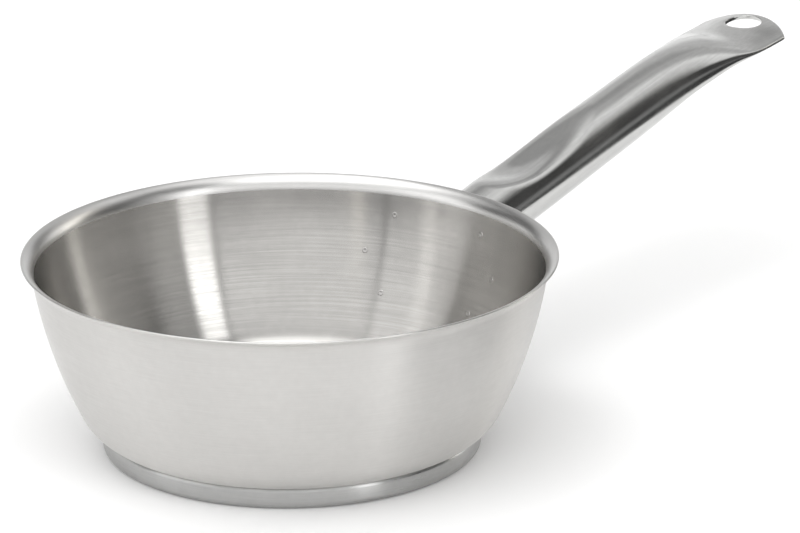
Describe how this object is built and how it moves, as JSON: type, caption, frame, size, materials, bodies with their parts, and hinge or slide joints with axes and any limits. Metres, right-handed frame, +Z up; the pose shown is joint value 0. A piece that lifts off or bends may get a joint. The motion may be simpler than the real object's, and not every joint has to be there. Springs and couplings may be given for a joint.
{
  "type": "saucier pan",
  "caption": "Small round-walled steel saucier with a flared pouring lip, a capped sandwich base and a hollow tube handle pressed flat at its end with a hanging hole.",
  "frame": {"origin": "centre of the base's underside, on the surface that the pan stands on", "axes": "+Z up along the bowl's axis, +X out along the handle, +Y to the left seen from the bowl along the handle"},
  "size_m": [0.3438, 0.166, 0.0788],
  "materials": {
    "bowl_steel": "stainless sheet, brushed in circles inside and satin outside",
    "base_steel": "magnetic stainless sheet, turned satin finish",
    "core_aluminium": "plain rolled aluminium, hidden inside the base",
    "bracket_steel": "pressed stainless plate",
    "handle_steel": "satin-polished stainless tube",
    "weld_metal": "dressed stainless weld"
  },
  "bodies": {
    "root": {"bowl": "bowl_steel", "base_cap": "base_steel", "heat_spreader_disc": "core_aluminium", "handle_bracket": "bracket_steel", "handle_tube": "handle_steel", "handle_weld": "weld_metal", "spot_weld_1": "weld_metal", "spot_weld_2": "weld_metal", "spot_weld_3": "weld_metal", "spot_weld_4": "weld_metal", "spot_weld_5": "weld_metal", "spot_weld_6": "weld_metal"}
  },
  "joints": []
}
